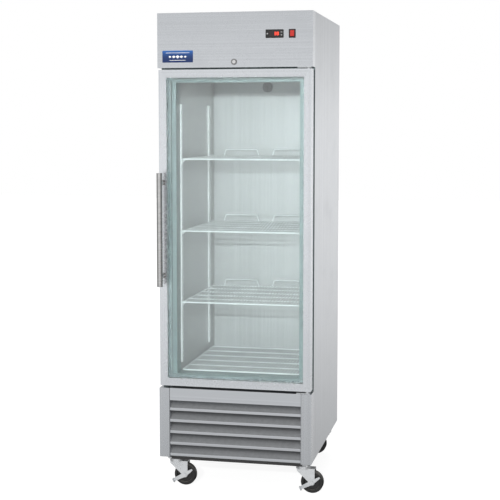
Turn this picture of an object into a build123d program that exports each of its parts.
"""Single-door reach-in refrigerator on casters, as an assembly of separate pieces.

Millimetres, +Z up. The pieces are drawn in the cabinet's own axes: X = 0 on the cabinet's centre
plane, Y = 0 on the front of the header, Y growing towards the back, Z = 0 on the floor. Each piece
is moved by ORIGIN_SHIFT when it is written, so that the written origin is the middle of the whole
object's footprint, on the floor.
"""

from build123d import *
import math
import os

# ---------------------------------------------------------------- what the cabinet stands on and shuts with
WHEEL_RADIUS = 50.0
WHEEL_CLEAR = 8.0        # wheel's top to the fork's crown
CROWN_HEIGHT = 14.0
CROWN_TOP_GAP = 0.3
RACE_HEIGHT = 7.7
PLATE_SHEET = 4.0
RAIL_HEIGHT = 16.0       # chassis rails under the cabinet
DOOR_FRONT = 2.0         # set back from the header's face
DOOR_THICKNESS = 52.0
GASKET_DEPTH = 9.7
SEAL_PLAY = 0.3          # gasket to landing face, door shut

CASTER_HEIGHT = (
    2 * WHEEL_RADIUS + WHEEL_CLEAR + CROWN_HEIGHT + CROWN_TOP_GAP + RACE_HEIGHT + PLATE_SHEET
)
BODY_CLEARANCE = CASTER_HEIGHT + RAIL_HEIGHT
DOOR_BACK = DOOR_FRONT + DOOR_THICKNESS
RECESS = DOOR_BACK + GASKET_DEPTH + SEAL_PLAY    # header and base stand this far in front

# ---------------------------------------------------------------- cabinet body
WIDTH = 679.5            # over the side panels
DEPTH = 806.5            # header front to back panel
HEIGHT = 2095.5          # floor to top panel, standing on the casters
HEADER_HEIGHT = 234.5
BASE_HEIGHT = 310.0      # machine compartment, from the side panels' lower edge to the deck
SKIN = 1.2               # outer sheet
LINER = 1.0              # inner sheet
SIDE_WALL = 64.5         # outer face to inner face, both skins and the foam
BACK_WALL = 58.0
TOP_WALL = 62.0
FLOOR_WALL = 54.0        # deck to inner floor
FRAME_SHEET = 2.0        # breaker strips round the doorway
DOORWAY_DROP = 60.0      # header's lower edge to the upper edge of the doorway
BULKHEAD = 50.0          # insulated wall behind the header

DECK = BODY_CLEARANCE + BASE_HEIGHT
HEADER_BOTTOM = HEIGHT - HEADER_HEIGHT
INNER_HALF = WIDTH / 2 - SIDE_WALL
INNER_BACK = DEPTH - BACK_WALL
INNER_FLOOR = DECK + FLOOR_WALL
INNER_TOP = HEIGHT - TOP_WALL
DOORWAY_TOP = HEADER_BOTTOM - DOORWAY_DROP
LINER_FRONT = RECESS + FRAME_SHEET
BULKHEAD_BACK = LINER_FRONT + BULKHEAD
SKIN_HALF = WIDTH / 2 - SKIN

# ---------------------------------------------------------------- door
DOOR_SIDE_INSET = 4.0
DOOR_FACE = 34.0         # width of stiles and rails
DOOR_GAP_TOP = 7.5
DOOR_GAP_BOTTOM = 11.0
GLASS_REBATE = 12.0      # how deep the panes sit in the frame
PANE = 4.0
PANE_FRONT = 6.0         # behind the frame's front face
PANE_GAP = 14.0
SPACER_WIDTH = 9.0
REBATE_PLAY = 0.5
GASKET_WIDTH = 22.0
GASKET_CLEAR = 2.0       # gasket's edge inside the pin axis, so it swings away from its landing
HINGE_INSET = 18.0       # pin axis to the door's edge
HINGE_DEPTH = 24.0       # pin axis behind the header's face
PIN_RADIUS = 5.0
PIN_PLAY = 0.05
PIN_REACH = 14.0
BRACKET_SHEET = 3.0
BRACKET_INWARDS = 46.0   # hinge plate from the pin axis towards the middle
BRACKET_OUTWARDS = 12.0
BRACKET_FORWARDS = 16.0
PIN_BUTTON = 4.0         # the lower pin's shoulder, wider than the pin all round

DOOR_HALF = WIDTH / 2 - DOOR_SIDE_INSET
DOOR_TOP = HEADER_BOTTOM - DOOR_GAP_TOP
DOOR_BOTTOM = DECK + DOOR_GAP_BOTTOM
HINGE_X = DOOR_HALF - HINGE_INSET
PANE_Y = DOOR_FRONT + PANE_FRONT

# ---------------------------------------------------------------- handle
HANDLE_LENGTH = 493.0
HANDLE_RADIUS = 12.5
HANDLE_WALL = 1.5
HANDLE_CENTRE_Z = 1163.0
HANDLE_REACH = 55.0      # tube axis to the door's face
STANDOFF_INSET = 43.0    # from the tube's ends
STANDOFF_RADIUS = 8.0
WASHER_RADIUS = 12.0
WASHER_THICKNESS = 3.0

HANDLE_X = -DOOR_HALF + DOOR_FACE / 2
HANDLE_Y = DOOR_FRONT - HANDLE_REACH

# ---------------------------------------------------------------- header controls
BADGE_WIDTH = 136.0
BADGE_HEIGHT = 51.0
BADGE_THICKNESS = 1.5
BADGE_INSET = 23.0       # from the cabinet's left side
BADGE_RISE = 23.0        # above the header's lower edge
CONTROL_WIDTH = 77.0
CONTROL_HEIGHT = 35.5
CONTROL_LIP = 4.0        # bezel in front of the header
CONTROL_FLANGE = 3.0     # bezel's overlap on the header, all round
CONTROL_DEPTH = 52.0
CONTROL_INSET = 164.0    # centre, from the cabinet's right side
CONTROL_DROP = 95.0      # centre, below the top
WINDOW_WIDTH = 45.0
WINDOW_HEIGHT = 23.0
WINDOW_THICKNESS = 1.5
KEY_WIDTH = 8.0
KEY_HEIGHT = 6.0
KEY_PLAY = 0.3
KEY_PROUD = 1.4
KEY_TRAVEL = 1.0
KEY_LENGTH = 4.0
ROCKER_BEZEL_WIDTH = 29.0
ROCKER_BEZEL_HEIGHT = 37.0
ROCKER_BEZEL_THICKNESS = 3.0
ROCKER_WIDTH = 17.0
ROCKER_HEIGHT = 26.0
ROCKER_PLAY = 0.6
ROCKER_TILT = 8.0        # degrees each side of the middle
ROCKER_DEPTH = 26.0
ROCKER_INSET = 88.5
LOCK_FLANGE_RADIUS = 13.0
LOCK_FLANGE = 2.5
LOCK_BODY_RADIUS = 9.5
LOCK_PLUG_RADIUS = 7.0
LOCK_PLAY = 0.05
LOCK_BODY_LENGTH = 21.0
LOCK_NUT_RADIUS = 15.0
LOCK_NUT = 5.0
LOCK_RISE = 23.5         # above the header's lower edge
CAM_LENGTH = 38.0
CAM_WIDTH = 12.0
CAM_SHEET = 2.5
CAM_PLAY = 2.0

HEADER_MIDDLE_Z = HEIGHT - CONTROL_DROP
CONTROL_X = WIDTH / 2 - CONTROL_INSET
ROCKER_X = WIDTH / 2 - ROCKER_INSET
LOCK_Z = HEADER_BOTTOM + LOCK_RISE
CAM_Y = SKIN + LOCK_BODY_LENGTH + 0.5

# ---------------------------------------------------------------- base and louvres
POST_WIDTH = 45.0
BAND_HEIGHT = 55.0
LOUVRE_COUNT = 5
LOUVRE_LIP = 12.0
LOUVRE_GAP = 5.0
LOUVRE_SHEET = 1.2
LOUVRE_FRONT = 4.0       # blade lips behind the posts' face
LOUVRE_DEPTH = 24.0      # from lip to the blade's upper edge
LOUVRE_RETURN = 8.0      # lip's lower edge turned inwards
BAND_FRONT = 2.0         # grille's band in front of the blade lips
GRILLE_PLAY = 1.0
RAIL_WALL = 2.5
SIDE_RAIL_WIDTH = 100.0
SIDE_RAIL_INSET = 14.0
CROSS_RAIL_WIDTH = 40.0
CROSS_RAIL_FRONT = 28.0
TRAY_SHEET = 2.0

# ---------------------------------------------------------------- casters
WHEEL_WIDTH = 32.0
CASTER_TRAIL = 41.0
CASTER_INSET_X = 51.0    # swivel axis from the cabinet's side
CASTER_FRONT_Y = 100.0
CASTER_BACK_INSET = 72.0
PLATE_X = 62.0
PLATE_Y = 92.0
BOLT_INSET = 9.0         # from the plate's edges
BOLT_RADIUS = 4.0
BOLT_PLAY = 0.1
BOLT_HEAD = 5.0
BOLT_HEAD_RADIUS = 7.5
RACE_RADIUS = 26.0
CROWN_RADIUS = 32.0
CROWN_PLATE_FRONT = 26.0 # fork's plate from the swivel axis, against the trail
CROWN_PLATE_BACK = 54.0
FORK_EYE = 13.0          # radius of the legs' ends round the axle
AXLE_HEAD = 4.0
AXLE_HEAD_RADIUS = 8.0
KINGPIN_RADIUS = 7.0
KINGPIN_HEAD_RADIUS = 11.0
KINGPIN_HEAD = 4.0
FORK_SHEET = 3.0
FORK_GAP = 37.0          # between the legs
AXLE_RADIUS = 5.0
AXLE_PLAY = 0.05
LEVER_SHEET = 3.0
LEVER_PLAY = 0.3
PEDAL_ANGLE = 208.0      # degrees from the trail direction, seen from the front
PEDAL_LENGTH = 57.0
CAM_ARM_ANGLE = 35.0
CAM_ARM_LENGTH = 43.0

CASTER_BACK_Y = DEPTH - CASTER_BACK_INSET
CASTER_X = WIDTH / 2 - CASTER_INSET_X
CASTERS = {
    "front_left": (-CASTER_X, CASTER_FRONT_Y, 0),
    "front_right": (CASTER_X, CASTER_FRONT_Y, 0),
    "back_left": (-CASTER_X, CASTER_BACK_Y, 180),
    "back_right": (CASTER_X, CASTER_BACK_Y, 180),
}

# ---------------------------------------------------------------- shelves
SHELF_SIDE_GAP = 11.0
SHELF_FRONT_GAP = 49.0   # behind the landing face
SHELF_BACK_GAP = 62.0    # in front of the back lining
SHELF_FLOOR_GAP = 313.0  # inner floor to the lowest adjustable shelf
SHELF_TOP_GAP = 336.0    # top shelf to the doorway's upper edge
RACK_LIFT = 8.0          # floor rack above the inner floor
FRAME_WIRE = 3.0         # radii of the wires
CROSS_WIRE = 2.5
DECK_WIRE = 1.6
WIRE_PITCH = 14.3
CROSS_ROWS = 4
FRAME_CORNER = 14.0
STOP_HEIGHT = 32.0
STOP_WIRE = 2.2
STOP_HIGH = 155.0        # raised stretches of the back stop
STOP_LOW = 66.0          # the dip between them
STOP_SLOPE = 10.0
WELD = 0.5               # how deep crossing wires run into each other

PILASTER_WIDTH = 25.0
PILASTER_DEPTH = 7.0
PILASTER_SHEET = 1.2
PILASTER_FRONT = 78.0    # behind the landing face
PILASTER_BACK = 108.0    # in front of the back lining
PILASTER_FOOT = 39.0
PILASTER_HEAD = 93.0     # below the doorway's upper edge
SLOT_PITCH = 25.4
SLOT_WIDTH = 12.0
SLOT_HEIGHT = 5.0
CLIP_WIDTH = 22.0
CLIP_HEIGHT = 14.0
CLIP_SHEET = 2.0

DECK_WIRE_Z = FRAME_WIRE + DECK_WIRE - 2 * WELD    # above the frame wire's middle
SHELF_HALF = INNER_HALF - SHELF_SIDE_GAP
SHELF_FRONT = RECESS + SHELF_FRONT_GAP
SHELF_BACK = INNER_BACK - SHELF_BACK_GAP
SHELF_LOW = INNER_FLOOR + SHELF_FLOOR_GAP
SHELF_HIGH = DOORWAY_TOP - SHELF_TOP_GAP
SHELF_LEVELS = {
    "shelf_lower": SHELF_LOW,
    "shelf_middle": (SHELF_LOW + SHELF_HIGH) / 2,
    "shelf_top": SHELF_HIGH,
}
PILASTER_YS = (RECESS + PILASTER_FRONT, INNER_BACK - PILASTER_BACK)

# ---------------------------------------------------------------- cold side, above the ceiling
CEILING_RISE = 24.0      # false ceiling above the doorway's upper edge
COVER_SHEET = 1.2
DUCT_HEIGHT = 56.0
DUCT_DEPTH = 13.0
DUCT_SIDE_GAP = 6.0
SENSOR_RADIUS = 24.5
SENSOR_DEPTH = 6.0
SENSOR_DROP = 26.0       # centre below the false ceiling
COIL_HEIGHT = 130.0
COIL_DEPTH = 190.0
COIL_SIDE_GAP = 45.0
COIL_LIFT = 22.0
COIL_BACK_GAP = 60.0
FAN_BULKHEAD_GAP = 130.0 # evaporator fan's axis behind the bulkhead
COIL_END = 22.0          # room for the return bends at each end
COIL_BEND = 14.0         # how far the bends stand out
COIL_PLATE = 1.5
COIL_PLATE_EDGE = 2.0    # end plates are larger than the fins all round
TUBE_RADIUS = 4.8
FAN_HOLE = 84.0
FAN_RADIUS = 78.0
FAN_BLADES = 5
FAN_HUB = 22.0
BLADE_SHEET = 1.5
BLADE_PITCH = 28.0
BLADE_CHORD = 46.0
BLADE_CORNER = 14.0
BLADE_ROOT = 4.0         # blades run this far into the hub
HUB_HEIGHT = 22.0
SHAFT_RADIUS = 4.0
SHAFT_LENGTH = 34.0
SHAFT_BORE = 31.0        # depth of the motor's bore, from 1 mm below its face
SHAFT_PLAY = 0.3
MOTOR_RADIUS = 34.0
MOTOR_LENGTH = 52.0
MOTOR_FOOT = 4.0
MOTOR_OFFSET = 16.0      # fan's middle to the motor's face
FAN_SET_BACK = 13.0      # condenser fan's middle inside the shroud's back
EVAPORATOR_FAN_RISE = 24.0

CEILING = DOORWAY_TOP + CEILING_RISE
EVAPORATOR_FAN_Y = BULKHEAD_BACK + FAN_BULKHEAD_GAP
COIL_FRONT = INNER_BACK - COIL_BACK_GAP - COIL_DEPTH

# ---------------------------------------------------------------- condensing unit
CONDENSER_WIDTH = 300.0
CONDENSER_HEIGHT = 215.0
CONDENSER_DEPTH = 44.0
CONDENSER_Y = 84.0
CONDENSER_X = -70.0      # middle of the coil
SHROUD_DEPTH = 34.0
SHROUD_SHEET = 1.5
COMPRESSOR_RADIUS = 72.0
COMPRESSOR_BODY = 150.0
COMPRESSOR_INSET = 149.75    # can's axis from the cabinet's right side
COMPRESSOR_BACK_GAP = 330.0  # and from its back
COMPRESSOR_FEET = 14.0
FOOT_PLATE = 4.0
FOOT_PLATE_X = 176.0
FOOT_PLATE_Y = 120.0
FOOT_INSET = 12.0        # rubber feet from the foot plate's edges
FOOT_RADIUS = 11.0
COMPRESSOR_STUB = 12.0
PAN_WIDTH = 300.0
PAN_DEPTH = 180.0
PAN_HEIGHT = 50.0
PAN_BACK_GAP = 40.0
PAN_SIDE_GAP = 70.0      # from the cabinet's left side
PAN_WALL = 2.0
BOX_WIDTH = 110.0
BOX_DEPTH = 60.0
BOX_HEIGHT = 130.0
LINE_RADIUS = 3.2
SUCTION_RADIUS = 5.0
DRIER_RADIUS = 12.0
DRIER_LENGTH = 90.0
DRIER_FORWARDS = 150.0   # drier's middle from the compressor's axis
DRIER_SIDEWAYS = 40.0
DRIER_RISE = 60.0        # above the tray
CHASE = 34.0             # pipe duct up the back wall
CHASE_INSET = 40.0       # its middle from the right lining
SUCTION_RISE = 72.0      # where the suction line leaves the back wall, above the false ceiling
PIPE_HOLE = 12.0         # half the size of the pipe's hole in the back lining
GLAND_RADIUS = 11.0
GLAND_BORE = 4.5
GLAND_PROUD = 12.0       # outside the back panel
GLAND_INSIDE = 10.0
GLAND_NUT = 4.0          # thickness of its collar, and how much wider it is all round
GLAND_RISE = 120.0       # above the side panels' lower edge
GLAND_INSET = 90.0
VENT_ROWS = 8
VENT_PITCH = 22.0
VENT_HEIGHT = 6.0
VENT_LENGTH = 420.0

TRAY_TOP = BODY_CLEARANCE + TRAY_SHEET
COMPRESSOR_X = WIDTH / 2 - COMPRESSOR_INSET
COMPRESSOR_Y = DEPTH - COMPRESSOR_BACK_GAP
SHROUD_BACK = CONDENSER_Y + CONDENSER_DEPTH + SHROUD_DEPTH
CONDENSER_FAN_Z = TRAY_TOP + CONDENSER_HEIGHT / 2
CHASE_X = INNER_HALF - CHASE_INSET
SUCTION_TOP = CEILING + SUCTION_RISE

# The front right and back left wheels reach equally far out of the two sides. From front to back
# the whole object runs from the handle to the gland.
ORIGIN_SHIFT = Vector(0, -(HANDLE_Y - HANDLE_RADIUS + DEPTH + GLAND_PROUD) / 2, 0)


# ================================================================ shape helpers
def block(x0, x1, y0, y1, z0, z1):
    """Block between two corners."""
    middle = Pos((x0 + x1) / 2, (y0 + y1) / 2, (z0 + z1) / 2)
    return middle * Box(x1 - x0, y1 - y0, z1 - z0)


def rod(start, end, radius):
    """Round bar between two points."""
    run = Vector(*end) - Vector(*start)
    ends = (Align.CENTER, Align.CENTER, Align.MIN)
    return Plane(origin=start, z_dir=run) * Cylinder(radius, run.length, align=ends)


def tube(start, end, radius, bore):
    """Round tube between two points, open at both ends."""
    return rod(start, end, radius) - rod(start, end, bore)


def prism(points, direction, start, end):
    """Prism along X, Y or Z over an outline given in the two other axes."""
    axis = "XYZ".index(direction)
    corners = [Vector(*(list(p[:axis]) + [start] + list(p[axis:]))) for p in points]
    face = make_face(Polyline(*corners, close=True))
    along = Vector(*[1 if i == axis else 0 for i in range(3)])
    return extrude(face, amount=end - start, dir=along)


def bent_rod(points, radius, bend):
    """Round bar along straight runs joined by arcs."""
    path = FilletPolyline(*points, radius=bend)
    section = Plane(origin=path @ 0, z_dir=path % 0) * Circle(radius)
    return sweep(section, path=path)


def mitred_ring(outer, inner, y0, y1):
    """Left, right, bottom and top bars between two rectangles (x0, x1, z0, z1), corners mitred."""
    ox0, ox1, oz0, oz1 = outer
    ix0, ix1, iz0, iz1 = inner
    outlines = [
        [(ox0, oz0), (ix0, iz0), (ix0, iz1), (ox0, oz1)],
        [(ox1, oz0), (ix1, iz0), (ix1, iz1), (ox1, oz1)],
        [(ox0, oz0), (ox1, oz0), (ix1, iz0), (ix0, iz0)],
        [(ox0, oz1), (ox1, oz1), (ix1, iz1), (ix0, iz1)],
    ]
    return [prism(outline, "Y", y0, y1) for outline in outlines]


def inset(rectangle, amount):
    """Rectangle (x0, x1, z0, z1) made smaller all round."""
    x0, x1, z0, z1 = rectangle
    return (x0 + amount, x1 - amount, z0 + amount, z1 - amount)


# ================================================================ cabinet body
def side_panels():
    """Plain outer side sheets, from the landing face to the back."""
    return [
        block(x, x + SKIN, RECESS, DEPTH, BODY_CLEARANCE, HEIGHT)
        for x in (-WIDTH / 2, WIDTH / 2 - SKIN)
    ]


def end_panels():
    """Top sheet, and the deck sheet under the foamed floor, pierced for the pipes."""
    deck, top = [
        block(-SKIN_HALF, SKIN_HALF, RECESS, DEPTH - SKIN, z, z + SKIN)
        for z in (DECK, HEIGHT - SKIN)
    ]
    return [deck - pipe_chase(DECK - 1, DECK + SKIN + 1), top]


def pipe_chase(z0, z1):
    """Upright duct for the pipes, in the foam of the back wall."""
    half = CHASE / 2
    return block(CHASE_X - half, CHASE_X + half, INNER_BACK + LINER, DEPTH - SKIN, z0, z1)


def back_panel():
    """Back sheet, with rows of air slots and the gland's hole at the machine compartment."""
    sheet = block(-SKIN_HALF, SKIN_HALF, DEPTH - SKIN, DEPTH, BODY_CLEARANCE, HEIGHT)
    first = DECK - VENT_ROWS * VENT_PITCH - VENT_PITCH
    for row in range(VENT_ROWS):
        z = first + row * VENT_PITCH
        x = -VENT_LENGTH / 2 - GLAND_INSET / 2
        sheet -= block(x, x + VENT_LENGTH, DEPTH - 2 * SKIN, DEPTH + SKIN, z, z + VENT_HEIGHT)
    gland = gland_centre()
    sheet -= rod((gland.X, DEPTH - 5, gland.Z), (gland.X, DEPTH + 5, gland.Z), GLAND_RADIUS)
    return sheet


def foam_body():
    """Foam between the skins: one block with the cold room, the doorway and a pipe chase cut out."""
    room_half = INNER_HALF + LINER
    foam = block(
        -SKIN_HALF, SKIN_HALF, LINER_FRONT, DEPTH - SKIN, DECK + SKIN, HEIGHT - SKIN
    )
    foam -= block(
        -room_half, room_half, BULKHEAD_BACK - LINER, INNER_BACK + LINER,
        INNER_FLOOR - LINER, INNER_TOP + LINER,
    )
    foam -= block(
        -room_half, room_half, LINER_FRONT - 1, BULKHEAD_BACK,
        INNER_FLOOR - LINER, DOORWAY_TOP + LINER,
    )
    return foam - pipe_chase(DECK, INNER_TOP)


def inner_liner():
    """Lining sheets of the cold room: sides, back, floor, ceiling, bulkhead and soffit."""
    half = INNER_HALF
    sides = [
        block(x, x + LINER, LINER_FRONT, INNER_BACK, INNER_FLOOR, DOORWAY_TOP)
        + block(x, x + LINER, BULKHEAD_BACK, INNER_BACK, DOORWAY_TOP, INNER_TOP)
        for x in (-half - LINER, half)
    ]
    back = block(
        -half - LINER, half + LINER, INNER_BACK, INNER_BACK + LINER, INNER_FLOOR, INNER_TOP
    )
    back -= block(
        CHASE_X - PIPE_HOLE, CHASE_X + PIPE_HOLE, INNER_BACK - 1, INNER_BACK + 2,
        SUCTION_TOP - PIPE_HOLE, SUCTION_TOP + PIPE_HOLE,
    )
    floor = block(
        -half - LINER, half + LINER, LINER_FRONT, INNER_BACK + LINER,
        INNER_FLOOR - LINER, INNER_FLOOR,
    )
    ceiling = block(
        -half - LINER, half + LINER, BULKHEAD_BACK - LINER, INNER_BACK + LINER,
        INNER_TOP, INNER_TOP + LINER,
    )
    bulkhead = block(
        -half, half, BULKHEAD_BACK - LINER, BULKHEAD_BACK, DOORWAY_TOP + LINER, INNER_TOP
    )
    soffit = block(-half, half, LINER_FRONT, BULKHEAD_BACK, DOORWAY_TOP, DOORWAY_TOP + LINER)
    return sides + [back, floor, ceiling, bulkhead, soffit]


def front_frame():
    """Four breaker strips round the doorway: the face that the door's gasket lands on."""
    outer = (-SKIN_HALF, SKIN_HALF, DECK + SKIN, HEIGHT - SKIN)
    doorway = (-INNER_HALF, INNER_HALF, INNER_FLOOR, DOORWAY_TOP)
    return mitred_ring(outer, doorway, RECESS, LINER_FRONT)


# ================================================================ header
def header_fascia():
    """Folded header box, open at the back, cut for the controller, the switch and the lock."""
    half = WIDTH / 2
    shell = block(-half, half, 0, RECESS, HEADER_BOTTOM, HEIGHT)
    shell -= block(
        -half + SKIN, half - SKIN, SKIN, RECESS + 1, HEADER_BOTTOM + SKIN, HEIGHT - SKIN
    )
    width = CONTROL_WIDTH / 2 - CONTROL_FLANGE
    height = CONTROL_HEIGHT / 2 - CONTROL_FLANGE
    shell -= block(
        CONTROL_X - width, CONTROL_X + width, -1, SKIN + 1,
        HEADER_MIDDLE_Z - height, HEADER_MIDDLE_Z + height,
    )
    width, height = rocker_body_half()
    shell -= block(
        ROCKER_X - width, ROCKER_X + width, -1, SKIN + 1,
        HEADER_MIDDLE_Z - height, HEADER_MIDDLE_Z + height,
    )
    shell -= rod((0, -1, LOCK_Z), (0, SKIN + 1, LOCK_Z), LOCK_BODY_RADIUS)
    shell -= cam_slot(HEADER_BOTTOM - 1, HEADER_BOTTOM + SKIN + 1)
    return shell


def cam_slot(z0, z1):
    """Room for the lock's cam as it swings down, between two levels."""
    reach = CAM_LENGTH + CAM_PLAY
    return block(
        -reach, CAM_WIDTH / 2 + CAM_PLAY, CAM_Y - CAM_PLAY, CAM_Y + CAM_SHEET + CAM_PLAY, z0, z1
    )


def badge_plate():
    """Plain badge with rounded corners, stuck to the header."""
    x = -WIDTH / 2 + BADGE_INSET
    z = HEADER_BOTTOM + BADGE_RISE
    plate = block(x, x + BADGE_WIDTH, -BADGE_THICKNESS, 0, z, z + BADGE_HEIGHT)
    return fillet(plate.edges().filter_by(Axis.Y), 3)


def key_places():
    """Centres of the controller's three keys, as (x, z)."""
    edge = (CONTROL_WIDTH + WINDOW_WIDTH) / 4
    return {
        "key_set": (CONTROL_X - edge, HEADER_MIDDLE_Z),
        "key_up": (CONTROL_X + edge, HEADER_MIDDLE_Z + KEY_HEIGHT),
        "key_down": (CONTROL_X + edge, HEADER_MIDDLE_Z - KEY_HEIGHT),
    }


def controller_case():
    """Panel-mounted thermostat: bezel in front of the header, body behind it."""
    half = CONTROL_WIDTH / 2
    height = CONTROL_HEIGHT / 2
    z = HEADER_MIDDLE_Z
    bezel = block(CONTROL_X - half, CONTROL_X + half, -CONTROL_LIP, 0, z - height, z + height)
    bezel = fillet(bezel.edges().filter_by(Axis.Y), 3)
    bezel = chamfer(bezel.faces().sort_by(Axis.Y)[0].edges(), 0.8)
    inner = half - CONTROL_FLANGE - 0.2
    tall = height - CONTROL_FLANGE - 0.2
    case = bezel + block(
        CONTROL_X - inner, CONTROL_X + inner, 0, CONTROL_DEPTH, z - tall, z + tall
    )
    case -= block(
        CONTROL_X - WINDOW_WIDTH / 2, CONTROL_X + WINDOW_WIDTH / 2,
        -CONTROL_LIP - 1, -CONTROL_LIP + WINDOW_THICKNESS,
        z - WINDOW_HEIGHT / 2, z + WINDOW_HEIGHT / 2,
    )
    for x, key_z in key_places().values():
        width = KEY_WIDTH / 2 + KEY_PLAY
        tall = KEY_HEIGHT / 2 + KEY_PLAY
        depth = KEY_LENGTH + KEY_TRAVEL
        case -= block(
            x - width, x + width, -CONTROL_LIP - 1, -CONTROL_LIP + depth,
            key_z - tall, key_z + tall,
        )
    return case


def controller_window():
    """Display window, flush in the bezel."""
    play = 0.1
    return block(
        CONTROL_X - WINDOW_WIDTH / 2 + play, CONTROL_X + WINDOW_WIDTH / 2 - play,
        -CONTROL_LIP, -CONTROL_LIP + WINDOW_THICKNESS,
        HEADER_MIDDLE_Z - WINDOW_HEIGHT / 2 + play, HEADER_MIDDLE_Z + WINDOW_HEIGHT / 2 - play,
    )


def controller_key(x, z):
    """One key, standing a little proud of the bezel."""
    front = -CONTROL_LIP - KEY_PROUD
    key = block(
        x - KEY_WIDTH / 2, x + KEY_WIDTH / 2, front, front + KEY_LENGTH,
        z - KEY_HEIGHT / 2, z + KEY_HEIGHT / 2,
    )
    return chamfer(key.faces().sort_by(Axis.Y)[0].edges(), 0.5)


def rocker_body_half():
    """Half width and half height of the rocker switch's body, behind its bezel."""
    wall = 2.5
    return ROCKER_WIDTH / 2 + ROCKER_PLAY + wall, ROCKER_HEIGHT / 2 + ROCKER_PLAY + wall


def rocker_bezel():
    """Rocker switch body: a bezel and a box behind it, hollow for the rocker."""
    half = ROCKER_BEZEL_WIDTH / 2
    tall = ROCKER_BEZEL_HEIGHT / 2
    z = HEADER_MIDDLE_Z
    bezel = block(
        ROCKER_X - half, ROCKER_X + half, -ROCKER_BEZEL_THICKNESS, 0, z - tall, z + tall
    )
    bezel = fillet(bezel.edges().filter_by(Axis.Y), 2.5)
    bezel = chamfer(bezel.faces().sort_by(Axis.Y)[0].edges(), 0.8)
    width, height = rocker_body_half()
    play = 0.2
    body = bezel + block(
        ROCKER_X - width + play, ROCKER_X + width - play, 0, ROCKER_DEPTH,
        z - height + play, z + height - play,
    )
    width = ROCKER_WIDTH / 2 + ROCKER_PLAY
    tall = ROCKER_HEIGHT / 2 + ROCKER_PLAY
    return body - block(
        ROCKER_X - width, ROCKER_X + width, -ROCKER_BEZEL_THICKNESS - 1, ROCKER_DEPTH - 8,
        z - tall, z + tall,
    )


def rocker_switch():
    """Rocker with a shallow V front and a round back, pressed in at its upper half."""
    tall = ROCKER_HEIGHT / 2 - ROCKER_PLAY
    front = -ROCKER_BEZEL_THICKNESS - 0.5
    dish = 1.5
    outline = [
        (front - dish, -tall), (front, 0), (front - dish, tall),
        (front + 5, tall), (front + 9, tall / 2), (front + 9, -tall / 2), (front + 5, -tall),
    ]
    rocker = prism(outline, "X", -ROCKER_WIDTH / 2, ROCKER_WIDTH / 2)
    pivot = rocker_pivot()
    turned = Pos(0, pivot.Y, 0) * Rot(-ROCKER_TILT, 0, 0) * Pos(0, -pivot.Y, 0) * rocker
    return Pos(ROCKER_X, 0, HEADER_MIDDLE_Z) * turned


def rocker_pivot():
    """Point on the rocker's pivot axis, which runs along X."""
    return Vector(ROCKER_X, 1.0, HEADER_MIDDLE_Z)


def lock_barrel():
    """Cam lock's fixed barrel: a round flange on the header and a body through it."""
    barrel = rod((0, -LOCK_FLANGE, LOCK_Z), (0, 0, LOCK_Z), LOCK_FLANGE_RADIUS)
    barrel = fillet(barrel.edges().group_by(Axis.Y)[0], 1)
    barrel += rod((0, 0, LOCK_Z), (0, SKIN + LOCK_BODY_LENGTH, LOCK_Z), LOCK_BODY_RADIUS - 0.1)
    nut_y = SKIN + 0.1
    nut = prism(
        [
            (
                LOCK_NUT_RADIUS * math.cos(math.radians(a)),
                LOCK_Z + LOCK_NUT_RADIUS * math.sin(math.radians(a)),
            )
            for a in range(0, 360, 60)
        ],
        "Y", nut_y, nut_y + LOCK_NUT,
    )
    barrel += nut
    return barrel - rod((0, -5, LOCK_Z), (0, 40, LOCK_Z), LOCK_PLUG_RADIUS)


def lock_plug():
    """Turning plug with its key slot, and the cam on its back end, lying level when unlocked."""
    plug = rod(
        (0, -LOCK_FLANGE - 0.6, LOCK_Z), (0, CAM_Y, LOCK_Z), LOCK_PLUG_RADIUS - LOCK_PLAY
    )
    plug -= block(-1, 1, -LOCK_FLANGE - 1, 4, LOCK_Z - 4, LOCK_Z + 4)
    half = CAM_WIDTH / 2
    cam = block(-CAM_LENGTH, 0, CAM_Y, CAM_Y + CAM_SHEET, LOCK_Z - half, LOCK_Z + half)
    cam += rod((0, CAM_Y, LOCK_Z), (0, CAM_Y + CAM_SHEET, LOCK_Z), LOCK_PLUG_RADIUS + 2)
    return plug + cam


# ================================================================ door
def door_outline():
    """Door's outer edges, as a rectangle (x0, x1, z0, z1)."""
    return (-DOOR_HALF, DOOR_HALF, DOOR_BOTTOM, DOOR_TOP)


def door_frame():
    """Mitred stiles and rails, grooved for the panes, bored for the hinge pins and the lock's cam."""
    outer = door_outline()
    sight = inset(outer, DOOR_FACE)
    groove = inset(outer, DOOR_FACE - GLASS_REBATE)
    glass_back = PANE_Y + 2 * PANE + PANE_GAP + REBATE_PLAY
    slot = block(groove[0], groove[1], PANE_Y - REBATE_PLAY, glass_back, groove[2], groove[3])
    bars = []
    for bar in mitred_ring(outer, sight, DOOR_FRONT, DOOR_BACK):
        bar -= slot
        for z in (DOOR_BOTTOM, DOOR_TOP):
            bar -= rod(
                (HINGE_X, HINGE_DEPTH, z - PIN_REACH - 1), (HINGE_X, HINGE_DEPTH, z + PIN_REACH + 1),
                PIN_RADIUS + PIN_PLAY,
            )
        bar -= cam_slot(LOCK_Z - CAM_LENGTH - CAM_PLAY, DOOR_TOP + 1)
        bars.append(bar)
    return bars


def door_panes():
    """Outer and inner panes of the sealed unit."""
    edge = inset(door_outline(), DOOR_FACE - GLASS_REBATE + REBATE_PLAY)
    return [
        block(edge[0], edge[1], y, y + PANE, edge[2], edge[3])
        for y in (PANE_Y, PANE_Y + PANE + PANE_GAP)
    ]


def glass_spacer():
    """Spacer bars that hold the panes apart round their edges."""
    outer = inset(door_outline(), DOOR_FACE - GLASS_REBATE + 2)
    inner = inset(outer, SPACER_WIDTH)
    return mitred_ring(outer, inner, PANE_Y + PANE, PANE_Y + PANE + PANE_GAP)


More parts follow.
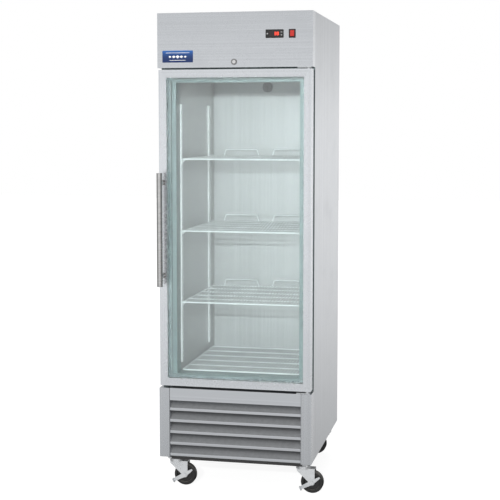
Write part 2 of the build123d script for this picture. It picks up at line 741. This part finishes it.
def door_gasket():
    """Magnetic gasket strips on the door's back, just clear of the landing face."""
    outer = inset(door_outline(), HINGE_INSET + GASKET_CLEAR)
    inner = inset(outer, GASKET_WIDTH)
    return mitred_ring(outer, inner, DOOR_BACK, RECESS - SEAL_PLAY)


def handle_ends():
    """Lower and upper ends of the handle tube."""
    return HANDLE_CENTRE_Z - HANDLE_LENGTH / 2, HANDLE_CENTRE_Z + HANDLE_LENGTH / 2


def handle_tube():
    """Straight round handle, a tube closed by thin end discs."""
    low, high = handle_ends()
    grip = rod((HANDLE_X, HANDLE_Y, low), (HANDLE_X, HANDLE_Y, high), HANDLE_RADIUS)
    cap = 3.0
    return grip - rod(
        (HANDLE_X, HANDLE_Y, low + cap), (HANDLE_X, HANDLE_Y, high - cap),
        HANDLE_RADIUS - HANDLE_WALL,
    )


def handle_standoffs():
    """Two posts from the door's stile to the tube, each on a round washer."""
    low, high = handle_ends()
    posts = []
    for z in (low + STANDOFF_INSET, high - STANDOFF_INSET):
        post = rod((HANDLE_X, HANDLE_Y, z), (HANDLE_X, DOOR_FRONT, z), STANDOFF_RADIUS)
        post += rod(
            (HANDLE_X, DOOR_FRONT - WASHER_THICKNESS, z), (HANDLE_X, DOOR_FRONT, z), WASHER_RADIUS
        )
        post -= rod((HANDLE_X, HANDLE_Y, low), (HANDLE_X, HANDLE_Y, high), HANDLE_RADIUS)
        posts.append(post.solids().sort_by(Axis.Y)[-1])
    return posts


def hinge_brackets():
    """Plates under the header and on the deck ledge, each with the pin that the door turns on."""
    x0 = HINGE_X - BRACKET_INWARDS
    x1 = HINGE_X + BRACKET_OUTWARDS
    y0 = HINGE_DEPTH - BRACKET_FORWARDS
    y1 = RECESS
    upper = block(x0, x1, y0, y1, HEADER_BOTTOM - BRACKET_SHEET, HEADER_BOTTOM)
    upper += rod(
        (HINGE_X, HINGE_DEPTH, DOOR_TOP - PIN_REACH), (HINGE_X, HINGE_DEPTH, HEADER_BOTTOM - 1),
        PIN_RADIUS,
    )
    lower = block(x0, x1, y0, y1, DECK, DECK + BRACKET_SHEET)
    lower += rod(
        (HINGE_X, HINGE_DEPTH, DECK + 1), (HINGE_X, HINGE_DEPTH, DOOR_BOTTOM + PIN_REACH), PIN_RADIUS
    )
    lower += rod(
        (HINGE_X, HINGE_DEPTH, DECK + 1), (HINGE_X, HINGE_DEPTH, DOOR_BOTTOM - 0.5),
        PIN_RADIUS + PIN_BUTTON,
    )
    return [upper, lower]


# ================================================================ base
def front_posts():
    """Folded posts at both sides of the grille, closed above by the ledge, open at the back."""
    posts = []
    for side in (-1, 1):
        outer = side * WIDTH / 2
        inner = outer - side * POST_WIDTH
        x0, x1 = sorted((outer, inner))
        post = block(x0, x1, 0, RECESS, BODY_CLEARANCE, DECK)
        post -= block(
            x0 + SKIN, x1 - SKIN, SKIN, RECESS + 1, BODY_CLEARANCE - 1, DECK - SKIN
        )
        posts.append(post)
    return posts


def louvre_pitch():
    """Distance between louvre blades, so that they fill the grille under its band."""
    return (BASE_HEIGHT - BAND_HEIGHT) / LOUVRE_COUNT


def louvre_blade(top):
    """Outline of one blade, as (y, z): it slopes down and forward, and ends in an upright lip."""
    t = LOUVRE_SHEET
    foot = top - louvre_pitch() + LOUVRE_GAP
    knee = foot + LOUVRE_LIP
    front = LOUVRE_FRONT
    back = LOUVRE_FRONT + LOUVRE_DEPTH
    return [
        (back, top), (back + t, top), (front + t, knee - t / 2), (front + t, foot + t),
        (front + LOUVRE_RETURN, foot + t), (front + LOUVRE_RETURN, foot), (front, foot), (front, knee),
    ]


def louvre_grille():
    """Removable front grille: a folded frame with a flat band and a top ledge, and its blades."""
    half = WIDTH / 2 - POST_WIDTH - GRILLE_PLAY
    t = LOUVRE_SHEET
    face = LOUVRE_FRONT - BAND_FRONT
    back = LOUVRE_FRONT + LOUVRE_DEPTH + t
    band_foot = DECK - BAND_HEIGHT
    frame = block(-half, half, face, face + t, band_foot, DECK)
    frame += block(-half, half, face, RECESS, DECK - t, DECK)
    frame += block(-half, half, face, back, band_foot, band_foot + t)
    for x in (-half, half - t):
        frame += block(x, x + t, face, back, BODY_CLEARANCE, DECK)
    blades = [
        prism(louvre_blade(band_foot - i * louvre_pitch()), "X", t - half, half - t)
        for i in range(LOUVRE_COUNT)
    ]
    return [frame] + blades


def base_frame():
    """Chassis under the cabinet: two wide side rails, two cross rails and the machine tray."""
    z0, z1 = CASTER_HEIGHT, BODY_CLEARANCE
    outer = WIDTH / 2 - SIDE_RAIL_INSET
    inner = outer - SIDE_RAIL_WIDTH
    back = DEPTH - SKIN
    w = RAIL_WALL
    pieces = []
    for x in (-outer, inner):
        rail = block(x, x + SIDE_RAIL_WIDTH, RECESS, back, z0, z1)
        bore = block(x + w, x + SIDE_RAIL_WIDTH - w, RECESS + w, back + 1, z0 + w, z1 - w)
        pieces.append(rail - bore)
    front_half = WIDTH / 2 - POST_WIDTH - GRILLE_PLAY
    for half, y0, y1 in (
        (front_half, CROSS_RAIL_FRONT, RECESS), (inner, back - CROSS_RAIL_WIDTH, back)
    ):
        rail = block(-half, half, y0, y1, z0, z1)
        pieces.append(rail - block(-half - 1, half + 1, y0 + w, y1 - w, z0 + w, z1 - w))
    pieces.append(block(-outer, outer, RECESS, back, z1, z1 + TRAY_SHEET))
    return pieces


# ================================================================ cold side
def finned_coil(x0, x1, y0, y1, z0, z1, rows, columns):
    """Finned block between end plates, with return bends standing out at both ends."""
    fins0 = x0 + COIL_END
    fins1 = x1 - COIL_END
    edge = COIL_PLATE_EDGE
    coil = block(fins0, fins1, y0 + edge, y1 - edge, z0 + edge, z1 - edge)
    for x in (fins0 - COIL_PLATE, fins1):
        coil += block(x, x + COIL_PLATE, y0, y1, z0, z1)
    row_pitch = (z1 - z0) / rows
    column_pitch = (y1 - y0) / columns
    for row in range(0, rows - 1):
        z = z0 + (row + 0.5) * row_pitch
        for column in range(columns):
            y = y0 + (column + 0.5) * column_pitch
            side = -1 if row % 2 else 1
            root = fins0 if side < 0 else fins1
            tip = root + side * COIL_BEND
            inside = root - side * 5
            points = [
                (inside, y, z), (tip, y, z), (tip, y, z + row_pitch), (inside, y, z + row_pitch)
            ]
            coil += bent_rod(points, TUBE_RADIUS, row_pitch * 0.45)
    return coil


def evaporator_coil():
    """Evaporator above the false ceiling, behind the fan."""
    half = INNER_HALF - COIL_SIDE_GAP
    z = CEILING + COIL_LIFT
    return finned_coil(-half, half, COIL_FRONT, COIL_FRONT + COIL_DEPTH, z, z + COIL_HEIGHT, 4, 5)


def evaporator_cover():
    """False ceiling: a drip tray with a fan opening and guard bars, under coil and fan."""
    half = INNER_HALF - 1
    y0, y1 = BULKHEAD_BACK + 1, INNER_BACK - DUCT_DEPTH - 1
    cover = block(-half, half, y0, y1, CEILING, CEILING + COVER_SHEET)
    lip = 14
    for x in (-half, half - COVER_SHEET):
        cover += block(x, x + COVER_SHEET, y0, y1, CEILING, CEILING + lip)
    for y in (y0, y1 - COVER_SHEET):
        cover += block(-half, half, y, y + COVER_SHEET, CEILING, CEILING + lip)
    centre = (0, EVAPORATOR_FAN_Y)
    cover -= rod((*centre, CEILING - 1), (*centre, CEILING + 3), FAN_HOLE)
    for radius in (FAN_HOLE * 0.3, FAN_HOLE * 0.65):
        cover += tube((*centre, CEILING), (*centre, CEILING + 1.2), radius + 1.5, radius)
    for turn in range(4):
        bar = Box(2 * FAN_HOLE + 4, 3, 1.2, align=(Align.CENTER, Align.CENTER, Align.MIN))
        cover += Pos(*centre, CEILING) * Rot(0, 0, 45 * turn) * bar
    return cover + motor_bridge()


def motor_bridge():
    """Strap that carries the evaporator fan's motor over the fan opening."""
    half = FAN_HOLE + 10
    y0, y1 = EVAPORATOR_FAN_Y - 12, EVAPORATOR_FAN_Y + 12
    top = CEILING + EVAPORATOR_FAN_RISE + MOTOR_OFFSET + MOTOR_LENGTH + MOTOR_FOOT
    bridge = block(-half, half, y0, y1, top, top + 2)
    for x in (-half, half - 2):
        bridge += block(x, x + 2, y0, y1, CEILING, top + 2)
    return bridge


def air_duct():
    """Shallow discharge duct across the top of the back lining, open downwards."""
    half = INNER_HALF - DUCT_SIDE_GAP
    y0, y1 = INNER_BACK - DUCT_DEPTH, INNER_BACK
    z0 = CEILING - DUCT_HEIGHT
    duct = block(-half, half, y0, y1, z0, CEILING + 10)
    duct -= block(-half + 1.2, half - 1.2, y0 + 1.2, y1 + 1, z0 - 1, CEILING + 11)
    x, z = 0, CEILING - SENSOR_DROP
    return duct - rod((x, y0 - 1, z), (x, y0 + 3, z), SENSOR_RADIUS - 5)


def sensor_grille():
    """Round guard over the air sensor's hole: a ring, a hub and spokes."""
    z = CEILING - SENSOR_DROP
    y1 = INNER_BACK - DUCT_DEPTH
    y0 = y1 - SENSOR_DEPTH
    grille = tube((0, y0, z), (0, y1, z), SENSOR_RADIUS, SENSOR_RADIUS - 4)
    grille += rod((0, y0, z), (0, y1 - 3, z), 6)
    for turn in range(4):
        spoke = Box(2 * SENSOR_RADIUS - 4, 2, 2.4)
        grille += Pos(0, y0 + 1.5, z) * Rot(0, 45 * turn, 0) * spoke
    return grille


def fan_motor(place):
    """Fan motor drawn on +Z: can with a shaft bore below and a mounting foot on top."""
    ends = (Align.CENTER, Align.CENTER, Align.MIN)
    can = fillet(Cylinder(MOTOR_RADIUS, MOTOR_LENGTH, align=ends).edges(), 3)
    foot = Pos(0, 0, MOTOR_LENGTH) * Box(2 * MOTOR_RADIUS + 24, 30, MOTOR_FOOT, align=ends)
    bore = Pos(0, 0, -1) * Cylinder(SHAFT_RADIUS + SHAFT_PLAY, SHAFT_BORE, align=ends)
    return place * (can + foot - bore)


def fan_blade(place):
    """Fan drawn on +Z: hub, pitched blades and the shaft that runs up into the motor."""
    fan = Cylinder(FAN_HUB, HUB_HEIGHT)
    root = FAN_HUB - BLADE_ROOT
    length = FAN_RADIUS - root
    sheet = Box(length, BLADE_CHORD, BLADE_SHEET)
    blade = fillet(sheet.edges().filter_by(Axis.Z).group_by(Axis.X)[-1], BLADE_CORNER)
    for i in range(FAN_BLADES):
        pitched = Pos(root + length / 2, 0, 0) * Rot(BLADE_PITCH, 0, 0) * blade
        fan += Rot(0, 0, 360 / FAN_BLADES * i) * pitched
    low = (Align.CENTER, Align.CENTER, Align.MIN)
    fan += Pos(0, 0, HUB_HEIGHT / 2 - 1) * Cylinder(SHAFT_RADIUS, SHAFT_LENGTH, align=low)
    return place * fan


def evaporator_fan_place():
    """Middle of the evaporator fan's hub, shaft upwards."""
    return Pos(0, EVAPORATOR_FAN_Y, CEILING + EVAPORATOR_FAN_RISE)


def condenser_fan_place():
    """Middle of the condenser fan's hub, shaft to the back."""
    return Pos(CONDENSER_X, SHROUD_BACK - FAN_SET_BACK, CONDENSER_FAN_Z) * Rot(-90, 0, 0)


def fan_motors():
    """The two motors, each a set distance along its fan's shaft."""
    return [
        fan_motor(place * Pos(0, 0, MOTOR_OFFSET))
        for place in (evaporator_fan_place(), condenser_fan_place())
    ]


# ================================================================ condensing unit
def condenser_coil():
    """Condenser behind the grille."""
    half = CONDENSER_WIDTH / 2
    return finned_coil(
        CONDENSER_X - half, CONDENSER_X + half, CONDENSER_Y, CONDENSER_Y + CONDENSER_DEPTH,
        TRAY_TOP, TRAY_TOP + CONDENSER_HEIGHT, 8, 2,
    )


def condenser_shroud():
    """Sheet shroud from the condenser to the fan's opening, with two arms for the motor."""
    half = CONDENSER_WIDTH / 2 - COIL_END - 2
    y0 = CONDENSER_Y + CONDENSER_DEPTH
    y1 = SHROUD_BACK
    z0, z1 = TRAY_TOP, TRAY_TOP + CONDENSER_HEIGHT
    t = SHROUD_SHEET
    x0, x1 = CONDENSER_X - half, CONDENSER_X + half
    shroud = block(x0, x1, y0, y1, z0, z1)
    shroud -= block(x0 + t, x1 - t, y0 - 1, y1 - t, z0 + t, z1 - t)
    shroud -= rod(
        (CONDENSER_X, y1 - 5, CONDENSER_FAN_Z), (CONDENSER_X, y1 + 5, CONDENSER_FAN_Z), FAN_HOLE
    )
    motor_back = SHROUD_BACK - FAN_SET_BACK + MOTOR_OFFSET + MOTOR_LENGTH + MOTOR_FOOT
    for side in (-1, 1):
        x = CONDENSER_X + side * (FAN_HOLE + 8)
        arm = block(x - 6, x + 6, y1, motor_back, CONDENSER_FAN_Z - 10, CONDENSER_FAN_Z + 10)
        shroud += arm
        x0, x1 = sorted((x - side * 6, CONDENSER_X + side * (MOTOR_RADIUS - 4)))
        shroud += block(
            x0, x1, motor_back, motor_back + 3, CONDENSER_FAN_Z - 10, CONDENSER_FAN_Z + 10
        ) + block(
            x - 6, x + 6, motor_back, motor_back + 3, CONDENSER_FAN_Z - 10, CONDENSER_FAN_Z + 10
        )
    return shroud


def compressor():
    """Hermetic compressor: domed can on a foot plate with four rubber feet."""
    ends = (Align.CENTER, Align.CENTER, Align.MIN)
    foot = TRAY_TOP + COMPRESSOR_FEET
    can = fillet(Cylinder(COMPRESSOR_RADIUS, COMPRESSOR_BODY, align=ends).edges(), 34)
    unit = Pos(COMPRESSOR_X, COMPRESSOR_Y, foot + 3) * can
    plate = Box(FOOT_PLATE_X, FOOT_PLATE_Y, FOOT_PLATE, align=ends)
    unit += Pos(COMPRESSOR_X, COMPRESSOR_Y, foot) * plate
    rubber = Cylinder(FOOT_RADIUS, COMPRESSOR_FEET, align=ends)
    dx = FOOT_PLATE_X / 2 - FOOT_INSET
    dy = FOOT_PLATE_Y / 2 - FOOT_INSET
    for x, y in ((-dx, -dy), (-dx, dy), (dx, -dy), (dx, dy)):
        unit += Pos(COMPRESSOR_X + x, COMPRESSOR_Y + y, TRAY_TOP) * rubber
    top = foot + 3 + COMPRESSOR_BODY
    unit += rod(
        (COMPRESSOR_X, COMPRESSOR_Y, top - 6), (COMPRESSOR_X, COMPRESSOR_Y, top + COMPRESSOR_STUB), 6
    )
    unit += block(
        COMPRESSOR_X + COMPRESSOR_RADIUS - 8, COMPRESSOR_X + COMPRESSOR_RADIUS + 24,
        COMPRESSOR_Y - 30, COMPRESSOR_Y + 30, foot + 50, foot + 120,
    )
    return unit


def condensate_pan():
    """Evaporating pan on the tray, behind the condenser and beside the compressor."""
    y1 = DEPTH - PAN_BACK_GAP
    y0 = y1 - PAN_DEPTH
    x0 = -WIDTH / 2 + PAN_SIDE_GAP
    x1 = x0 + PAN_WIDTH
    t = PAN_WALL
    pan = block(x0, x1, y0, y1, TRAY_TOP, TRAY_TOP + PAN_HEIGHT)
    return pan - block(x0 + t, x1 - t, y0 + t, y1 - t, TRAY_TOP + t, TRAY_TOP + PAN_HEIGHT + 1)


def refrigerant_lines():
    """Discharge line to the condenser, liquid line with its drier, and suction line up the chase."""
    top = TRAY_TOP + COMPRESSOR_FEET + 3 + COMPRESSOR_BODY + COMPRESSOR_STUB
    back_y = INNER_BACK + LINER + 20
    level = DECK - 18
    stub = (COMPRESSOR_X, COMPRESSOR_Y, top + 0.2)
    coil_x = CONDENSER_X + CONDENSER_WIDTH / 2 - COIL_END + 1
    coil_y = CONDENSER_Y + CONDENSER_DEPTH / 2
    coil_top = TRAY_TOP + CONDENSER_HEIGHT
    turn_y = INNER_BACK - 30
    suction = bent_rod(
        [
            stub, (COMPRESSOR_X, COMPRESSOR_Y, level), (CHASE_X, COMPRESSOR_Y, level),
            (CHASE_X, back_y, level), (CHASE_X, back_y, SUCTION_TOP),
            (CHASE_X, turn_y, SUCTION_TOP), (CHASE_X - 140, turn_y, SUCTION_TOP),
            (CHASE_X - 140, COIL_FRONT + COIL_DEPTH - 1.8, SUCTION_TOP),
        ],
        SUCTION_RADIUS, 12,
    )
    drier_y = COMPRESSOR_Y - DRIER_FORWARDS
    drier_x = COMPRESSOR_X + DRIER_SIDEWAYS
    drier_z = TRAY_TOP + DRIER_RISE
    half = DRIER_LENGTH / 2
    drier = rod(
        (drier_x, drier_y - half, drier_z), (drier_x, drier_y + half, drier_z), DRIER_RADIUS
    )
    feed = bent_rod(
        [
            (coil_x + 1.8, coil_y, coil_top - 20), (drier_x, coil_y, coil_top - 20),
            (drier_x, coil_y, drier_z), (drier_x, drier_y - half, drier_z),
        ],
        LINE_RADIUS, 10,
    )
    return [suction, drier, feed]


def electrical_box():
    """Wiring box on the tray, beside the gland."""
    x1 = WIDTH / 2 - GLAND_INSET + BOX_WIDTH / 2
    y1 = DEPTH - SKIN - 14
    box = block(x1 - BOX_WIDTH, x1, y1 - BOX_DEPTH, y1, TRAY_TOP, TRAY_TOP + BOX_HEIGHT)
    return fillet(box.edges().filter_by(Axis.Z), 4)


def gland_centre():
    """Centre of the cord's gland in the back panel."""
    return Vector(WIDTH / 2 - GLAND_INSET, DEPTH, BODY_CLEARANCE + GLAND_RISE)


def cord_gland():
    """Cable gland through the back panel, with the bore that a supply cord would pass."""
    c = gland_centre()
    inside, outside = DEPTH - GLAND_INSIDE, DEPTH + GLAND_PROUD
    body = rod((c.X, inside, c.Z), (c.X, outside, c.Z), GLAND_RADIUS - 0.1)
    nut = GLAND_NUT
    body += rod((c.X, DEPTH, c.Z), (c.X, DEPTH + nut, c.Z), GLAND_RADIUS + nut)
    return body - rod((c.X, inside - 1, c.Z), (c.X, outside + 1, c.Z), GLAND_BORE)


# ================================================================ shelves
def stop_outline():
    """Path of the back stop, a wire with two raised stretches, as (x, z) points."""
    dip = STOP_LOW / 2
    peak = dip + STOP_SLOPE
    end = min(peak + STOP_HIGH, SHELF_HALF - 2 * STOP_SLOPE)
    half = [(dip, 0), (peak, STOP_HEIGHT), (end, STOP_HEIGHT), (end + STOP_SLOPE, 0)]
    left = [(-x, z) for x, z in reversed(half)]
    return left + half


def wire_shelf(with_stop):
    """Welded wire shelf about its own frame wire: X centred, front edge at y = 0, frame at z = 0."""
    depth = SHELF_BACK - SHELF_FRONT
    width = 2 * SHELF_HALF
    loop = Pos(0, depth / 2, 0) * RectangleRounded(width, depth, FRAME_CORNER)
    path = loop.face().outer_wire()
    frame = sweep(Plane(origin=path @ 0, z_dir=path % 0) * Circle(FRAME_WIRE), path=path)
    wires = []
    for row in range(1, CROSS_ROWS + 1):
        y = depth * row / (CROSS_ROWS + 1)
        z = DECK_WIRE_Z - DECK_WIRE - CROSS_WIRE + WELD
        wires.append(rod((-SHELF_HALF, y, z), (SHELF_HALF, y, z), CROSS_WIRE))
    count = int((width - 2 * FRAME_CORNER) / WIRE_PITCH)
    for i in range(count + 1):
        x = (i - count / 2) * WIRE_PITCH
        wires.append(rod((x, -1, DECK_WIRE_Z), (x, depth + 1, DECK_WIRE_Z), DECK_WIRE))
    if with_stop:
        points = [(x, depth, z) for x, z in stop_outline()]
        wires.append(bent_rod(points, STOP_WIRE, 5))
    return frame.fuse(*wires)


def pilasters():
    """Four slotted channels on the side linings, which the shelf clips hook into."""
    z0 = INNER_FLOOR + PILASTER_FOOT
    z1 = DOORWAY_TOP - PILASTER_HEAD
    count = int((z1 - z0 - SLOT_PITCH) / SLOT_PITCH)
    strips = []
    for side in (-1, 1):
        for y in PILASTER_YS:
            wall = side * INNER_HALF
            face = wall - side * PILASTER_DEPTH
            x0, x1 = sorted((wall, face))
            strip = block(x0, x1, y - PILASTER_WIDTH / 2, y + PILASTER_WIDTH / 2, z0, z1)
            x0, x1 = sorted((wall + side, face + side * PILASTER_SHEET))
            strip -= block(
                x0, x1, y - PILASTER_WIDTH / 2 + PILASTER_SHEET,
                y + PILASTER_WIDTH / 2 - PILASTER_SHEET, z0 - 1, z1 + 1,
            )
            slots = []
            for i in range(count):
                z = z0 + SLOT_PITCH * (i + 1)
                x0, x1 = sorted((face - side, face + side * 2))
                slots.append(block(
                    x0, x1, y - SLOT_WIDTH / 2, y + SLOT_WIDTH / 2,
                    z - SLOT_HEIGHT / 2, z + SLOT_HEIGHT / 2,
                ))
            strips.append(strip.cut(*slots))
    return strips


def shelf_clips():
    """Clips under the adjustable shelves' corners: a foot against the pilaster and a seat."""
    clips = []
    for level in SHELF_LEVELS.values():
        seat = level - FRAME_WIRE
        for side in (-1, 1):
            face = side * (INNER_HALF - PILASTER_DEPTH)
            for y in PILASTER_YS:
                x0, x1 = sorted((face, face - side * CLIP_SHEET))
                y0, y1 = y - CLIP_WIDTH / 2, y + CLIP_WIDTH / 2
                back = block(x0, x1, y0, y1, seat - CLIP_HEIGHT, seat)
                x0, x1 = sorted((face, face - side * CLIP_HEIGHT))
                back += block(x0, x1, y0, y1, seat - CLIP_SHEET, seat)
                outline = [
                    (face - side * CLIP_SHEET, seat - CLIP_SHEET),
                    (face - side * CLIP_HEIGHT, seat - CLIP_SHEET),
                    (face - side * CLIP_SHEET, seat - CLIP_HEIGHT),
                ]
                back += prism(outline, "Y", y - CLIP_SHEET / 2, y + CLIP_SHEET / 2)
                clips.append(back)
    return clips


# ================================================================ casters
def caster_place(name):
    """Where a caster's swivel axis meets the floor, turned to its heading."""
    x, y, heading = CASTERS[name]
    return Pos(x, y, 0) * Rot(0, 0, heading)


def caster_plate():
    """Fixed half of a caster: top plate, upper race and kingpin."""
    ends = (Align.CENTER, Align.CENTER, Align.MIN)
    top = CASTER_HEIGHT
    plate = Pos(0, 0, top - PLATE_SHEET) * Box(PLATE_X, PLATE_Y, PLATE_SHEET, align=ends)
    plate = fillet(plate.edges().filter_by(Axis.Z), 6)
    hole = Cylinder(BOLT_RADIUS + BOLT_PLAY, PLATE_SHEET + 2, align=ends)
    for x, y in bolt_places():
        plate -= Pos(x, y, top - PLATE_SHEET - 1) * hole
    crown_top = crown_levels()[1]
    plate += Pos(0, 0, crown_top + CROWN_TOP_GAP) * Cylinder(RACE_RADIUS, RACE_HEIGHT, align=ends)
    foot = crown_levels()[0] - CROWN_TOP_GAP - KINGPIN_HEAD
    plate += Pos(0, 0, foot) * Cylinder(KINGPIN_RADIUS, top - PLATE_SHEET - foot, align=ends)
    plate += Pos(0, 0, foot) * Cylinder(KINGPIN_HEAD_RADIUS, KINGPIN_HEAD, align=ends)
    return plate


def bolt_places():
    """A caster's four bolts, as (x, y) from the plate's middle."""
    x = PLATE_X / 2 - BOLT_INSET
    y = PLATE_Y / 2 - BOLT_INSET
    return [(-x, -y), (-x, y), (x, -y), (x, y)]


def crown_levels():
    """Lower and upper faces of the fork's crown."""
    low = 2 * WHEEL_RADIUS + WHEEL_CLEAR
    return low, low + CROWN_HEIGHT


def caster_bolts():
    """Bolts that hold the caster plates to the base frame, heads down."""
    ends = (Align.CENTER, Align.CENTER, Align.MIN)
    bolts = []
    under = CASTER_HEIGHT - PLATE_SHEET
    bolt = Pos(0, 0, under - BOLT_HEAD) * extrude(RegularPolygon(BOLT_HEAD_RADIUS, 6), BOLT_HEAD)
    bolt += Pos(0, 0, under - 1) * Cylinder(BOLT_RADIUS, PLATE_SHEET + 1, align=ends)
    for name in CASTERS:
        for x, y in bolt_places():
            bolts.append(caster_place(name) * Pos(x, y, 0) * bolt)
    return bolts


def caster_fork():
    """Swivelling half of a caster, trailing to +X: crown, top plate, two legs and the axle bolt."""
    ends = (Align.CENTER, Align.CENTER, Align.MIN)
    low = crown_levels()[0]
    half = FORK_GAP / 2 + FORK_SHEET
    fork = Pos(0, 0, low) * Cylinder(CROWN_RADIUS, CROWN_HEIGHT, align=ends)
    front, back = -CROWN_PLATE_FRONT, CROWN_PLATE_BACK
    fork += block(front, back, -half, half, low, low + FORK_SHEET)
    leg_top = [(front, low + FORK_SHEET), (back, low + FORK_SHEET), (back, low - 14)]
    axle_z = WHEEL_RADIUS
    eye = FORK_EYE
    for y in (-half, FORK_GAP / 2):
        leg = prism(
            leg_top + [(CASTER_TRAIL + eye, axle_z), (CASTER_TRAIL - eye, axle_z), (front, low - 8)],
            "Y", y, y + FORK_SHEET,
        )
        leg += rod((CASTER_TRAIL, y, axle_z), (CASTER_TRAIL, y + FORK_SHEET, axle_z), eye)
        fork += leg
    bore = KINGPIN_RADIUS + AXLE_PLAY
    fork -= Pos(0, 0, low - 1) * Cylinder(bore, CROWN_HEIGHT + 2, align=ends)
    reach = half + LEVER_SHEET + 2 * LEVER_PLAY
    fork += rod((CASTER_TRAIL, -reach, axle_z), (CASTER_TRAIL, reach, axle_z), AXLE_RADIUS)
    for side in (-1, 1):
        fork += rod(
            (CASTER_TRAIL, side * reach, axle_z), (CASTER_TRAIL, side * (reach + AXLE_HEAD), axle_z),
            AXLE_HEAD_RADIUS,
        )
    return fork


def caster_wheel():
    """Wheel with a rounded tread and dished sides, bored for the axle bolt."""
    r, half = WHEEL_RADIUS, WHEEL_WIDTH / 2
    hub = FORK_GAP / 2 - 0.5
    bore = AXLE_RADIUS + AXLE_PLAY
    with_dish = [
        (bore, -hub), (15, -hub), (16, -half + 6), (r * 0.68, -half + 6), (r * 0.74, -half),
        (r - 5, -half), (r, -half + 6), (r, half - 6), (r - 5, half), (r * 0.74, half),
        (r * 0.68, half - 6), (16, half - 6), (15, hub), (bore, hub),
    ]
    section = make_face(Polyline(*[(x, y, 0) for x, y in with_dish], close=True))
    wheel = revolve(section, Axis.Y)
    return Pos(CASTER_TRAIL, 0, WHEEL_RADIUS) * wheel


def brake_lever():
    """Side brake on the axle bolt: a pedal arm, a cam arm and the eye between them."""
    y1 = -FORK_GAP / 2 - FORK_SHEET - LEVER_PLAY
    y0 = y1 - LEVER_SHEET
    c = (CASTER_TRAIL, WHEEL_RADIUS)
    lever = rod((c[0], y0, c[1]), (c[0], y1, c[1]), 12)
    for angle, length, tip in ((PEDAL_ANGLE, PEDAL_LENGTH, 7), (CAM_ARM_ANGLE, CAM_ARM_LENGTH, 4)):
        a = math.radians(angle)
        u, v = math.cos(a), math.sin(a)
        outline = [
            (c[0] - 10 * v, c[1] + 10 * u),
            (c[0] + length * u - tip * v, c[1] + length * v + tip * u),
            (c[0] + length * u + tip * v, c[1] + length * v - tip * u),
            (c[0] + 10 * v, c[1] - 10 * u),
        ]
        lever += prism(outline, "Y", y0, y1)
    a = math.radians(PEDAL_ANGLE)
    pedal = Pos(
        c[0] + (PEDAL_LENGTH - 2) * math.cos(a), y0 - 7, c[1] + (PEDAL_LENGTH - 2) * math.sin(a)
    ) * Rot(0, 90 - PEDAL_ANGLE, 0) * Box(18, 18, 3)
    lever += pedal
    return lever - rod((c[0], y0 - 20, c[1]), (c[0], y1 + 1, c[1]), AXLE_RADIUS + AXLE_PLAY)


# ================================================================ all pieces
def build_nodes():
    """Every node's name and its solids, in the cabinet's axes."""
    nodes = {
        "side_panels": side_panels(),
        "end_panels": end_panels(),
        "back_panel": [back_panel()],
        "foam_body": [foam_body()],
        "inner_liner": inner_liner(),
        "front_frame": front_frame(),
        "header_fascia": [header_fascia()],
        "badge_plate": [badge_plate()],
        "controller_case": [controller_case()],
        "controller_window": [controller_window()],
        "rocker_bezel": [rocker_bezel()],
        "rocker_switch": [rocker_switch()],
        "lock_barrel": [lock_barrel()],
        "lock_plug": [lock_plug()],
        "base_frame": base_frame(),
        "front_posts": front_posts(),
        "louvre_grille": louvre_grille(),
        "door_frame": door_frame(),
        "door_panes": door_panes(),
        "glass_spacer": glass_spacer(),
        "door_gasket": door_gasket(),
        "handle_tube": [handle_tube()],
        "handle_standoffs": handle_standoffs(),
        "hinge_brackets": hinge_brackets(),
        "evaporator_coil": [evaporator_coil()],
        "evaporator_cover": [evaporator_cover()],
        "evaporator_fan": [fan_blade(evaporator_fan_place())],
        "air_duct": [air_duct()],
        "sensor_grille": [sensor_grille()],
        "fan_motors": fan_motors(),
        "condenser_coil": [condenser_coil()],
        "condenser_shroud": [condenser_shroud()],
        "condenser_fan": [fan_blade(condenser_fan_place())],
        "compressor": [compressor()],
        "condensate_pan": [condensate_pan()],
        "refrigerant_lines": refrigerant_lines(),
        "electrical_box": [electrical_box()],
        "cord_gland": [cord_gland()],
        "pilasters": pilasters(),
        "shelf_clips": shelf_clips(),
        "caster_plates": [caster_place(name) * caster_plate() for name in CASTERS],
        "caster_bolts": caster_bolts(),
    }
    for name, (x, z) in key_places().items():
        nodes[name] = [controller_key(x, z)]
    shelf = wire_shelf(with_stop=True)
    for name, level in SHELF_LEVELS.items():
        nodes[name] = [Pos(0, SHELF_FRONT, level) * shelf]
    rack = wire_shelf(with_stop=False)
    nodes["floor_rack"] = [Pos(0, SHELF_FRONT, INNER_FLOOR + RACK_LIFT) * rack]
    for name in CASTERS:
        nodes[f"fork_{name}"] = [caster_place(name) * caster_fork()]
        nodes[f"wheel_{name}"] = [caster_place(name) * caster_wheel()]
    for name in ("front_left", "front_right"):
        nodes[f"brake_{name}"] = [caster_place(name) * brake_lever()]
    return nodes


def write_nodes(nodes):
    """One STEP file per node, moved to the written origin."""
    os.makedirs("parts", exist_ok=True)
    for name, pieces in nodes.items():
        solids = [s.moved(Location(ORIGIN_SHIFT)) for piece in pieces for s in piece.solids()]
        whole = solids[0] if len(solids) == 1 else Compound(children=solids)
        whole.label = name
        export_step(whole, f"parts/{name}.step")
    print(len(nodes), "nodes written, origin shift", ORIGIN_SHIFT)


if __name__ == "__main__":
    write_nodes(build_nodes())
